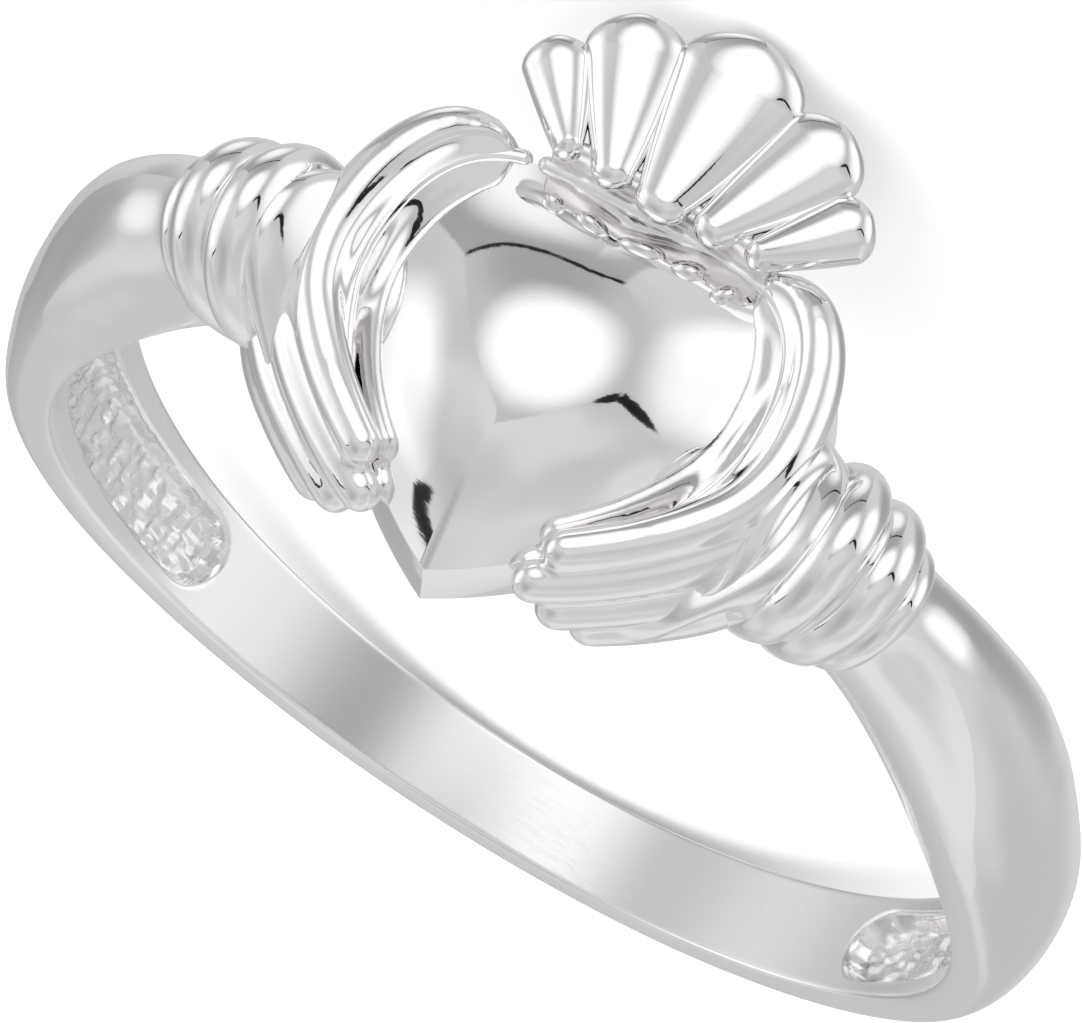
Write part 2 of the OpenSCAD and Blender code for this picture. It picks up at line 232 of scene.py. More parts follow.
def welded(bm: BMesh, voxel: float, rounds: int) -> BMesh:
    """Makes one skin over crossing shells, as metal run together in casting.

    Args:
        bm: the crossing shells, in millimetres.
        voxel: the fineness of the skin.
        rounds: how often the skin is smoothed.

    Returns:
        The welded mesh. The one given is freed.
    """
    mesh = bpy.data.meshes.new("weld")
    bm.to_mesh(mesh)
    bm.free()
    obj = bpy.data.objects.new("weld", mesh)
    bpy.context.scene.collection.objects.link(obj)
    remesh = obj.modifiers.new("skin", "REMESH")
    remesh.mode = "VOXEL"
    remesh.voxel_size = voxel
    smooth = obj.modifiers.new("smooth", "SMOOTH")
    smooth.factor = 0.5
    smooth.iterations = rounds
    bpy.context.view_layer.update()
    done = obj.evaluated_get(bpy.context.evaluated_depsgraph_get())
    out = bmesh.new()
    out.from_mesh(done.to_mesh())
    done.to_mesh_clear()
    bpy.data.objects.remove(obj)
    bpy.data.meshes.remove(mesh)
    return out


def bar(path: np.ndarray, half_w: np.ndarray, half_h: np.ndarray, up: Sequence[float],
        sides: int, power: float = 1.0) -> np.ndarray:
    """Rings of a round bar along a path.

    Args:
        path: the points of its middle line.
        half_w: half its width at each point.
        half_h: half its height at each point.
        up: the direction that its height follows.
        sides: points in a ring.
        power: below 1 the section is fuller than an ellipse.

    Returns:
        A net of points for draped().
    """
    along = np.gradient(path, axis=0)
    along /= np.linalg.norm(along, axis=1, keepdims=True)
    side = np.cross(along, np.array(up, float))
    side /= np.linalg.norm(side, axis=1, keepdims=True)
    rise = np.cross(side, along)
    q = np.linspace(0, 2 * math.pi, sides, endpoint=False)
    c = np.sign(np.cos(q)) * np.abs(np.cos(q)) ** power
    s = np.sign(np.sin(q)) * np.abs(np.sin(q)) ** power
    return (
        path[:, None] + (half_w[:, None] * c)[..., None] * side[:, None]
        + (half_h[:, None] * s)[..., None] * rise[:, None]
    )


def with_round_end(path: np.ndarray, half_w: np.ndarray, half_h: np.ndarray, reach: float = 1.0,
                   steps: int = 9) -> tuple[np.ndarray, np.ndarray, np.ndarray]:
    """Closes the end of a bar's path as a round fingertip is.

    Args:
        path: the points of the bar's middle line.
        half_w: half its width at each point.
        half_h: half its height at each point.
        reach: how far the end stands out, as a share of the last half width.
        steps: rings in the end.

    Returns:
        The longer path, half widths and half heights.
    """
    ahead = unit(path[-1] - path[-2])
    q = np.linspace(0, math.pi / 2, steps + 1)[1:]
    q[-1] = math.pi / 2 - 1e-4
    r = half_w[-1] * reach
    return (
        np.vstack([path, path[-1] + np.outer(r * np.sin(q), ahead)]),
        np.concatenate([half_w, half_w[-1] * np.cos(q)]),
        np.concatenate([half_h, half_h[-1] * np.cos(q)]),
    )


def with_round_ends(path: np.ndarray, half_w: np.ndarray, half_h: np.ndarray
                    ) -> tuple[np.ndarray, np.ndarray, np.ndarray]:
    """Closes both ends of a bar's path, as with_round_end does one."""
    path, half_w, half_h = with_round_end(path, half_w, half_h)
    path, half_w, half_h = with_round_end(path[::-1], half_w[::-1], half_h[::-1])
    return path[::-1], half_w[::-1], half_h[::-1]


# ---- Materials


class Socket:
    """A shader value that takes part in Python expressions."""

    def __init__(self, tree: bpy.types.NodeTree, link: bpy.types.NodeSocket) -> None:
        """Wraps an output socket of a node tree."""
        self.tree = tree
        self.link = link

    def _math(self, operation: str, *values: "Socket | float") -> "Socket":
        """Adds one Math node.

        Args:
            operation: the node's operation.
            values: its inputs, sockets or numbers.

        Returns:
            The node's output.
        """
        node = self.tree.nodes.new("ShaderNodeMath")
        node.operation = operation
        for slot, value in zip(node.inputs, values):
            if isinstance(value, Socket):
                self.tree.links.new(value.link, slot)
            else:
                slot.default_value = value
        return Socket(self.tree, node.outputs[0])

    def __add__(self, other: "Socket | float") -> "Socket":
        """This value plus another."""
        return self._math("ADD", self, other)

    def __radd__(self, other: float) -> "Socket":
        """A number plus this value."""
        return self._math("ADD", other, self)

    def __sub__(self, other: "Socket | float") -> "Socket":
        """This value less another."""
        return self._math("SUBTRACT", self, other)

    def __rsub__(self, other: float) -> "Socket":
        """A number less this value."""
        return self._math("SUBTRACT", other, self)

    def __mul__(self, other: "Socket | float") -> "Socket":
        """This value times another."""
        return self._math("MULTIPLY", self, other)

    def __rmul__(self, other: float) -> "Socket":
        """A number times this value."""
        return self._math("MULTIPLY", other, self)

    def ramp(self, low: float, high: float) -> "Socket":
        """A soft step of this value from 0 at low to 1 at high."""
        node = self.tree.nodes.new("ShaderNodeMapRange")
        node.interpolation_type = "SMOOTHSTEP"
        self.tree.links.new(self.link, node.inputs["Value"])
        node.inputs["From Min"].default_value = low
        node.inputs["From Max"].default_value = high
        return Socket(self.tree, node.outputs["Result"])


class Shading:
    """Adds nodes to a material's or the world's tree."""

    def __init__(self, tree: bpy.types.NodeTree) -> None:
        """Empties a node tree and keeps it."""
        tree.nodes.clear()
        self.tree = tree

    def node(self, kind: str, settings: dict | None = None, values: dict | None = None
             ) -> bpy.types.Node:
        """Adds a node.

        Args:
            kind: the node's type.
            settings: its own settings, set first.
            values: numbers, colours, sockets or Sockets for its inputs, by name or number.

        Returns:
            The node.
        """
        node = self.tree.nodes.new(kind)
        for name, value in (settings or {}).items():
            setattr(node, name, value)
        for name, value in (values or {}).items():
            if isinstance(value, Socket):
                self.tree.links.new(value.link, node.inputs[name])
            elif isinstance(value, bpy.types.NodeSocket):
                self.tree.links.new(value, node.inputs[name])
            else:
                node.inputs[name].default_value = value
        return node

    def value(self, kind: str, output: str, settings: dict | None = None,
              values: dict | None = None) -> Socket:
        """Adds a node and wraps one of its outputs.

        Args:
            kind: the node's type.
            output: the name of the output.
            settings: its own settings.
            values: its inputs.

        Returns:
            The output, for expressions.
        """
        return Socket(self.tree, self.node(kind, settings, values).outputs[output])

    def noise(self, place: Socket, scale: float, detail: float, roughness: float = 0.5) -> Socket:
        """Adds a smooth random pattern.

        Args:
            place: the places that it is read at.
            scale: how fine it is.
            detail: how many finer layers it has.
            roughness: how strong the finer layers are.

        Returns:
            The pattern, from 0 to 1.
        """
        return self.value("ShaderNodeTexNoise", "Fac", None,
                          {"Vector": place, "Scale": scale, "Detail": detail, "Roughness": roughness})


@dataclass(frozen=True)
class PolishedSilver:
    """Mirror-polished cast silver with the faint marks that a polishing wheel and wear leave."""

    name: str = "polished_silver"
    colour: Triple = (0.95, 0.94, 0.945)
    tarnish: Triple = (0.88, 0.865, 0.87)
    roughness: float = 0.045
    wear: float = 0.07
    satin: float = 0.2
    cloud_scale: float = 320.0
    fine_scale: float = 9000.0
    sand_scale: float = 14000.0
    scratch_turn: Triple = (0.4, 0.2, 0.7)
    scratch_scale: Triple = (1500.0, 24000.0, 9000.0)
    scratch_depth: float = 0.0000012
    scratch_strength: float = 0.35
    grain_depth: float = 0.000004
    grain_strength: float = 0.9
    cast_tint: float = 0.35
    cloud_tint: float = 0.08
    cast_rough: float = 0.16
    cast_uneven: float = 0.12

    def make(self) -> bpy.types.Material:
        """Builds the material.

        Returns:
            The material. It reads the attribute "cast" as the share of bare cast surface, and "satin"
            as how dull the metal is: 1 inside the bore, a little more on the headband.
        """
        material = bpy.data.materials.new(self.name)
        material.use_nodes = True
        shade = Shading(material.node_tree)
        place = shade.value("ShaderNodeTexCoord", "Object")
        cast = shade.value("ShaderNodeAttribute", "Fac", {"attribute_name": "cast"})
        satin = shade.value("ShaderNodeAttribute", "Fac", {"attribute_name": "satin"})
        clouds = shade.noise(place, self.cloud_scale, 3.0)
        fine = shade.noise(place, self.fine_scale, 3.0, 0.6)
        stretch = shade.value("ShaderNodeMapping", "Vector", None,
                              {"Vector": place, "Rotation": self.scratch_turn,
                               "Scale": self.scratch_scale})
        scratch = shade.noise(stretch, 1.0, 2.0)
        sand = shade.noise(place, self.sand_scale, 4.0, 0.65)
        worn = clouds.ramp(0.42, 0.72) * scratch.ramp(0.45, 0.75)
        aged = cast * self.cast_tint + clouds.ramp(0.5, 0.8) * self.cloud_tint
        tint = shade.node("ShaderNodeMix", {"data_type": "RGBA"},
                          {0: aged, 6: (*self.colour, 1.0), 7: (*self.tarnish, 1.0)})
        bare = cast * (self.cast_rough + self.cast_uneven * fine)
        rough = worn * self.wear + bare + satin * self.satin + self.roughness
        polish = shade.node("ShaderNodeBump", None,
                            {"Height": scratch * (1 - cast), "Distance": self.scratch_depth,
                             "Strength": self.scratch_strength})
        pits = shade.node("ShaderNodeBump", None,
                          {"Height": sand * cast, "Distance": self.grain_depth,
                           "Strength": self.grain_strength, "Normal": polish.outputs["Normal"]})
        silver = shade.node("ShaderNodeBsdfPrincipled", None,
                            {"Base Color": tint.outputs[2], "Metallic": 1.0, "Roughness": rough,
                             "Normal": pits.outputs["Normal"]})
        shade.node("ShaderNodeOutputMaterial", None, {"Surface": silver.outputs["BSDF"]})
        return material


@dataclass(frozen=True)
class PalePaper:
    """The matt white sheet that the ring lies on."""

    name: str = "pale_paper"
    colour: Triple = (0.93, 0.93, 0.93)
    fibre_scale: float = 1800.0

    def make(self) -> bpy.types.Material:
        """Builds the material.

        Returns:
            The material.
        """
        material = bpy.data.materials.new(self.name)
        material.use_nodes = True
        shade = Shading(material.node_tree)
        place = shade.value("ShaderNodeTexCoord", "Object")
        fibre = shade.noise(place, self.fibre_scale, 3.0)
        paper = shade.node("ShaderNodeBsdfPrincipled", None,
                           {"Base Color": (*self.colour, 1.0), "Roughness": 0.86 + 0.1 * fibre,
                            "Specular IOR Level": 0.0})
        shade.node("ShaderNodeOutputMaterial", None, {"Surface": paper.outputs["BSDF"]})
        return material


# ---- The ring's pieces


@dataclass(frozen=True)
class Setting:
    """What every piece needs to be put in place."""

    place: Placement
    silver: bpy.types.Material

    def finish(self, bm: BMesh, name: str, smooth_angle: float = 180.0
               ) -> bpy.types.Object:
        """Puts a mesh in place as a piece of silver.

        Args:
            bm: the mesh, in millimetres in the ring's frame. It is freed.
            name: the piece's name.
            smooth_angle: edges sharper than this, in degrees, stay crisp.

        Returns:
            The piece.
        """
        bmesh.ops.transform(bm, matrix=self.place.matrix(), verts=bm.verts)
        for face in bm.faces:
            face.smooth = True
        for edge in bm.edges:
            if len(edge.link_faces) == 2:
                edge.smooth = edge.calc_face_angle(0.0) < math.radians(smooth_angle)
        mesh = bpy.data.meshes.new(name)
        bm.to_mesh(mesh)
        bm.free()
        piece = bpy.data.objects.new(name, mesh)
        bpy.context.scene.collection.objects.link(piece)
        mesh.materials.append(self.silver)
        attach(piece, BODY)
        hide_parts(NODE)
        mesh.calc_loop_triangles()
        log.info("%s: %d triangles", name, len(mesh.loop_triangles))
        return piece


@dataclass
class HeartOutline:
    """The heart's edge, seen along Y. Places run from 0 at the notch over 1 at the side to 2 at the tip."""

    width: float = 6.7
    tip: float = 3.5
    notch: float = 3.12

    def point(self, q: float) -> np.ndarray:
        """The point of the right half at a place, as X and Z."""
        w = self.width / 2
        side = np.array([w, -0.26 * self.tip])
        if q <= 1:
            return bezier(np.array([0, -self.notch]), np.array([0.3 * w, -1.03 * self.notch]),
                          np.array([0.985 * w, -1.24 * self.notch]), side, q)
        return bezier(side, np.array([1.005 * w, 0.17 * self.tip]),
                      np.array([0.6 * w, 0.68 * self.tip]), np.array([0, self.tip]), q - 1)

    def outward(self, q: float) -> np.ndarray:
        """The direction out of the edge at a place, as X and Z."""
        d = self.point(min(q + 0.01, 2)) - self.point(q - 0.01)
        return unit(np.array([d[1], -d[0]]))

    def loop(self, count: int) -> np.ndarray:
        """Points round the whole heart.

        Args:
            count: points in each half.

        Returns:
            The points, as X and Z.
        """
        half = [self.point(q) for q in np.linspace(0, 2, count + 1)]
        return np.array(half + [p * (-1, 1) for p in half[-2:0:-1]])


@dataclass
class Shank:
    """The band, its shoulders and the seat of the head, with a cast pocket inside each shoulder."""

    bore_r: float
    palm_w: float = 5.2
    palm_t: float = 2.2
    neck_w: float = 2.4
    neck_t: float = 3.7
    side_w: float = 2.8
    side_t: float = 1.25
    back_w: float = 1.8
    back_t: float = 0.95
    pocket_w: float = 1.45
    pocket_depth: float = 0.4
    pocket_middle: float = 92.0
    pocket_sweep: float = 72.0
    grain_size: float = 0.26
    grain_height: float = 0.035
    pocket_rim: tuple[float, float] = (-0.02, 0.17)
    cast_fade: tuple[float, float] = (0.1, 0.3)
    cast_from: float = 0.06
    cast_past: float = 0.12
    skin: float = 0.02
    bore_reach: float = 0.03
    table: Table = field(init=False)

    def __post_init__(self) -> None:
        """Works out the table of sections from the sizes."""
        p, n, s, b = self.palm_w, self.neck_w, self.side_w, self.back_w
        pt, nt, st, bt = self.palm_t, self.neck_t, self.side_t, self.back_t
        self.table = Table([
            [0, 0.42 * p, 0.44 * p, 0.22 * pt, 0.52 * pt],
            [8, 0.44 * p, 0.46 * p, 0.27 * pt, 0.6 * pt],
            [13, 0.46 * p, 0.485 * p, 0.36 * pt, 0.8 * pt],
            [17, 0.455 * p, 0.485 * p, 0.42 * pt, 0.98 * pt],
            [20, 0.4 * p, 0.44 * p, 0.5 * pt, 1.12 * pt],
            [23, 0.44 * n, 0.64 * n, 0.57 * nt, 0.97 * nt],
            [26, 0.2 * n, 0.53 * n, 0.6 * nt, nt],
            [31, 0.14 * n, 0.47 * n, 0.6 * nt, 0.97 * nt],
            [35, 0.13 * n, 0.46 * n, 0.57 * nt, 0.89 * nt],
            [40, 0.17 * n, 0.49 * n, 0.52 * nt, 0.85 * nt],
            [46, 0.25 * n, 0.54 * n, 0.44 * nt, 0.77 * nt],
            [53, 0.3 * s, 0.51 * s, 0.37 * nt, 0.65 * nt],
            [62, 0.4 * s, 0.53 * s, 0.8 * st, 1.5 * st],
            [75, 0.47 * s, 0.52 * s, 0.52 * st, 1.13 * st],
            [90, 0.465 * s, 0.5 * s, 0.44 * st, st],
            [110, 0.41 * s, 0.445 * s, 0.4 * st, 0.86 * st],
            [130, 0.55 * b, 0.6 * b, 0.44 * bt, 1.04 * bt],
            [150, 0.5 * b, 0.535 * b, 0.4 * bt, 1.01 * bt],
            [180, 0.465 * b, 0.5 * b, 0.37 * bt, bt],
        ])

    def outline(self, angle: float, under: int, over: int) -> np.ndarray:
        """The outside of the section at an angle from the head, from foot to foot over the crest.

        Args:
            angle: degrees from the middle of the head.
            under: points from a foot to the greatest width.
            over: points from there to the crest.

        Returns:
            Points as place along the bore and height above it.
        """
        turned = abs((angle + 180) % 360 - 180)
        _, foot, belly, belly_h, crest = self.table.at(turned)
        q = np.linspace(0, 1, under, endpoint=False)
        low = np.stack([foot + (belly - foot) * q * (1.6 - 0.6 * q), belly_h * q], 1)
        a = np.linspace(0, math.pi / 2, over + 1)
        high = np.stack([belly * np.cos(a), belly_h + (crest - belly_h) * np.sin(a)], 1)
        half = np.vstack([low, high])
        return np.vstack([half, half[-2::-1] * (-1, 1)])

    def around(self, angle: float, section: np.ndarray) -> np.ndarray:
        """Carries points of a section out to its angle.

        Args:
            angle: degrees from the middle of the head.
            section: points as place along the bore and height above it.

        Returns:
            The points in the ring's frame.
        """
        a = math.radians(angle)
        r = self.bore_r + section[:, 1]
        return np.stack([r * math.sin(a), r * math.cos(a), section[:, 0]], 1)

    def section(self, angle: float) -> np.ndarray:
        """The whole section at an angle, with its corners eased.

        Args:
            angle: degrees from the middle of the head.

        Returns:
            Points as place along the bore and height above it.
        """
        inside = 44
        outer = self.outline(angle, 14, 26)
        foot = outer[0, 0]
        inner = np.stack([np.linspace(-foot, foot, inside), np.zeros(inside)], 1)[1:-1]
        ring = np.vstack([outer, inner])
        for _ in range(2):
            ring = (np.roll(ring, 1, 0) + 2 * ring + np.roll(ring, -1, 0)) / 4
        return ring

    def pocket_share(self, points: np.ndarray) -> np.ndarray:
        """How far points of the bore lie inside a pocket.

        Args:
            points: points in the ring's frame.

        Returns:
            0 outside, 1 on the floor, with a round passage over the rim.
        """
        angle = np.degrees(np.arctan2(np.abs(points[..., 0]), points[..., 1]))
        run = np.radians(np.abs(angle - self.pocket_middle)) * self.bore_r
        straight = math.radians(self.pocket_sweep / 2) * self.bore_r
        past = np.maximum(run - straight, 0)
        gap = self.pocket_w / 2 - np.hypot(past, points[..., 2])
        inside = np.hypot(points[..., 0], points[..., 1]) < self.bore_r + self.bore_reach
        return np.where(inside, smooth_step(*self.pocket_rim, gap), 0)

    def build(self, setting: Setting) -> bpy.types.Object:
        """Makes the band.

        Args:
            setting: where the piece goes.

        Returns:
            The piece.
        """
        angles = np.arange(0, 360, 0.5)
        net = np.array([self.around(a, self.section(a)) for a in angles])
        share = self.pocket_share(net)
        radial = net * (1, 1, 0)
        radial /= np.linalg.norm(radial, axis=2, keepdims=True)
        rough = grain(net, self.grain_size, 5) * self.grain_height
        net = net + radial * (share * (self.pocket_depth + rough))[..., None]
        bm = draped(net, closed_along=True)
        layer = bm.verts.layers.float.new("cast")
        satin = bm.verts.layers.float.new("satin")
        for vert in bm.verts:
            flat = math.hypot(vert.co.x, vert.co.y) - self.bore_r
            point = np.array(vert.co)
            vert[satin] = float(flat < self.skin)
            if self.cast_from < flat < self.pocket_depth + self.cast_past:
                inwards = self.bore_r / (self.bore_r + flat)
                share_here = self.pocket_share(point * (inwards, inwards, 1))
                vert[layer] = float(share_here) * float(smooth_step(*self.cast_fade, flat))
        return setting.finish(bm, "shank")


@dataclass
class Cuff:
    """Two round ribs over the neck and a low step behind them, on one side."""

    shank: Shank
    side: Side
    start: float = 25.8
    pitch: float = 0.82
    rib_d: float = 0.9
    proud: float = 0.36

    def rib(self, angle: float, d: float, proud: float) -> BMesh:
        """One rib over the neck.

        Args:
            angle: degrees from the middle of the head.
            d: its thickness.
            proud: how far it stands out of the neck.

        Returns:
            Its mesh.
        """
        outline = self.shank.outline(angle, 12, 30)
        along = np.gradient(outline, axis=0)
        along /= np.linalg.norm(along, axis=1, keepdims=True)
        sunk = d / 2 - proud
        middle = outline - sunk * np.stack([along[:, 1], -along[:, 0]], 1)
        path = self.shank.around(angle, middle[6:-6])
        r = np.full(len(path), d / 2)
        a = math.radians(angle)
        return draped(bar(*with_round_ends(path, r, r), (math.cos(a), -math.sin(a), 0), 28))

    def build(self, setting: Setting) -> bpy.types.Object:
        """Makes the cuff.

        Args:
            setting: where the piece goes.

        Returns:
            The piece.
        """
        step = math.degrees(self.pitch / (self.shank.bore_r + self.shank.neck_t))
        ribs = merged([
            self.rib(self.start, self.rib_d, self.proud),
            self.rib(self.start + step, self.rib_d, self.proud),
            self.rib(self.start + 1.8 * step, 0.6 * self.rib_d, 0.35 * self.proud),
        ])
        if self.side is Side.LEFT:
            flip(ribs)
        return setting.finish(ribs, f"cuff_{self.side.name.lower()}")


@dataclass
class Heart:
    """The puffed heart on its low wall."""

    bore_r: float
    outline: HeartOutline
    seat: float = 0.65
    wall: float = 0.8
    puff: float = 1.85
    turned: float = 2.5
    flank: float = 0.85
    curl: float = 2.2
    swell: float = 0.8
    spread: float = 0.12
    lip: float = 0.02
    lip_drop: float = 0.05
    crease: float = 50.0

    def dome(self, s: float) -> float:
        """Share of the dome's height at a share of the way out: round, then straight down its flank."""
        t = min(s, self.flank)
        left = 1 - t ** self.curl
        slope = self.curl * self.swell * t ** (self.curl - 1) * left ** (self.swell - 1)
        return left ** self.swell - (s - t) * slope

    def turn(self, bm: BMesh) -> None:
        """Turns a mesh a little about the heart's tip, as the heart stands in the ring."""
        tip = Matrix.Translation((0, 0, self.outline.tip))
        turn = tip @ Matrix.Rotation(math.radians(self.turned), 4, "Y") @ tip.inverted()
        bmesh.ops.transform(bm, matrix=turn, verts=bm.verts)

    @property
    def rim_level(self) -> float:
        """Height of the wall's top above the middle of the bore."""
        return self.bore_r + self.seat + self.wall

    def build(self, setting: Setting) -> bpy.types.Object:
        """Makes the heart.

        Args:
            setting: where the piece goes.

        Returns:
            The piece.
        """
        edge = self.outline.loop(110)
        out = edge / np.linalg.norm(edge, axis=1, keepdims=True)
        mean = 0.25 * (self.outline.width + self.outline.tip + self.outline.notch)

        def ring(flat: np.ndarray, level: float) -> np.ndarray:
            """A ring of the heart at one level."""
            return np.stack([flat[:, 0], np.full(len(flat), level), flat[:, 1]], 1)

        top = self.rim_level + self.puff * self.dome(1.0)
        rings = [ring(edge + self.spread * out, self.rim_level - self.wall),
                 ring(edge + self.lip * out, top - self.lip_drop)]
        for s in 1 - np.linspace(0, 1, 90) ** 1.6:
            flat = s * (s * s * edge + (1 - s * s) * mean * out)
            rings.append(ring(flat, self.rim_level + self.puff * self.dome(s)))
        bm = draped(np.array(rings))
        self.turn(bm)
        return setting.finish(bm, "heart", self.crease)


@dataclass
class Hand:
    """A palm, thumb and four fingers round one side of the heart, with the rim under them."""

    heart: Heart
    side: Side
    finger_d: float = 0.84
    finger_step: float = 0.56
    thumb_d: float = 0.46
    rim_d: float = 0.32
    palm_floor: float = 0.12
    voxel: float = 0.045
    rounds: int = 32
    rim: tuple[float, float] = (0.5, 1.7)
    rim_out: float = 0.2
    rim_rise: float = 0.3

    # Rows of a digit: place along the heart's edge, distance out, height, thickness
    INDEX = [
        [0.58, 0.5, 0.3, 0.4], [0.7, 0.6, 0.7, 0.85], [0.88, 0.68, 0.75, 1],
        [1.06, 0.74, 0.72, 1], [1.22, 0.7, 0.7, 0.97], [1.36, 0.52, 0.76, 0.94],
        [1.47, 0.37, 0.82, 0.9], [1.58, 0.22, 0.9, 0.85], [1.68, 0.1, 0.95, 0.8],
    ]
    MIDDLE = [
        [1.02, 1.05, -0.1, 0.6], [1.18, 1.2, 0, 0.9], [1.36, 0.98, 0.05, 0.95],
        [1.56, 0.66, 0.1, 0.92], [1.76, 0.34, 0.1, 0.85],
    ]
    RING = [
        [1, 1.2, -0.9, 0.6], [1.18, 1.58, -0.85, 0.9], [1.36, 1.34, -0.85, 0.98],
        [1.55, 0.96, -0.85, 0.95], [1.71, 0.68, -0.9, 0.88],
    ]
    LITTLE = [
        [0.98, 1.2, -1.7, 0.6], [1.15, 1.72, -1.75, 0.85], [1.33, 1.55, -1.8, 0.95],
        [1.5, 1.18, -1.85, 0.95], [1.64, 0.9, -1.9, 0.85],
    ]
    THUMB = [
        [0.62, 0.6, -0.1, 0.4], [0.8, 0.56, 0.35, 0.7], [1, 0.5, 0.6, 0.9],
        [1.16, 0.52, 0.5, 0.85], [1.3, 0.6, 0.3, 0.65], [1.4, 0.7, 0, 0.4],
    ]
    # Rows of the palm: place along the edge, reach out and height of the ridge
    PALM = [
        [0.5, 0.25, 0.1], [0.55, 0.6, 0.5], [0.63, 0.85, 0.78], [0.75, 0.98, 0.85],
        [0.9, 1.2, 0.82], [1.02, 1.45, 0.8], [1.14, 1.52, 0.75], [1.26, 1.28, 0.64],
        [1.4, 0.85, 0.4], [1.52, 0.55, 0.25], [1.62, 0.4, 0.15],
    ]
    # Rows across the palm: number, share of its reach, share of its height (below 0, of its depth)
    ACROSS = [
        [0, -0.1, 0], [1, 0, 0.3], [2, 0.12, 0.55], [3, 0.28, 0.82], [4, 0.42, 0.97],
        [5, 0.55, 1], [6, 0.7, 0.86], [7, 0.84, 0.42], [8, 0.95, -0.3], [9, 1, -0.92],
    ]
    STEPS = 90

    def digit(self, rows: Sequence[Sequence[float]], d: float) -> BMesh:
        """A finger or thumb beside the heart.

        Args:
            rows: place along the edge, distance out in thicknesses, height in steps, thickness share.
            d: its thickness.

        Returns:
            Its mesh.
        """
        table = Table(numbered(rows))
        path, r = [], []
        for x in np.linspace(0, len(rows) - 1, self.STEPS):
            _, q, out, level, share = table.at(x)
            flat = self.heart.outline.point(q) + out * d * self.heart.outline.outward(q)
            path.append([flat[0], self.heart.rim_level + level * self.finger_step, flat[1]])
            r.append(share * d / 2)
        return draped(bar(*with_round_end(np.array(path), np.array(r), np.array(r)), (0, 1, 0), 28))

    def palm(self) -> BMesh:
        """The palm, a ridge along the heart's edge that slopes out to the cuff."""
        outline, level = self.heart.outline, self.heart.rim_level
        low = self.heart.bore_r + self.palm_floor
        table, across = Table(self.PALM), Table(self.ACROSS)
        rings = []
        for q in np.linspace(self.PALM[0][0], self.PALM[-1][0], self.STEPS):
            _, reach, ridge = table.at(q) * self.finger_d
            edge, out = outline.point(q), outline.outward(q)
            profile = [across.at(x)[1:] for x in np.linspace(0, len(self.ACROSS) - 1, 40)]
            top = [(c * reach, level + h * (ridge if h > 0 else level - low)) for c, h in profile]
            ring = [(top[0][0], low), *top, (reach, low)]
            rings.append([[*(edge + c * out), h] for c, h in ring])
        return draped(np.array(rings)[..., [0, 2, 1]])

    def rim_bar(self) -> BMesh:
        """The thin rim between the hand and the heart's wall."""
        outline, path = self.heart.outline, []
        for q in np.linspace(*self.rim, self.STEPS):
            flat = outline.point(q) + self.rim_out * self.rim_d * outline.outward(q)
            path.append([flat[0], self.heart.rim_level + self.rim_rise * self.rim_d, flat[1]])
        r = np.full(len(path), self.rim_d / 2)
        return draped(bar(*with_round_ends(np.array(path), r, r), (0, 1, 0), 20))

    def build(self, setting: Setting) -> list[bpy.types.Object]:
        """Makes the hand and its rim.

        Args:
            setting: where the pieces go.

        Returns:
            The hand and the rim.
        """
        tables = (self.INDEX, self.MIDDLE, self.RING, self.LITTLE)
        fingers = [self.digit(rows, self.finger_d) for rows in tables]
        hand = merged([self.palm(), *fingers, self.digit(self.THUMB, self.thumb_d)])
        hand = welded(hand, self.voxel, self.rounds)
        rim = self.rim_bar()
        name = self.side.name.lower()
        if self.side is Side.LEFT:
            flip(hand)
            flip(rim)
        for bm in (hand, rim):
            self.heart.turn(bm)
        return [setting.finish(hand, f"hand_{name}"), setting.finish(rim, f"rim_{name}")]


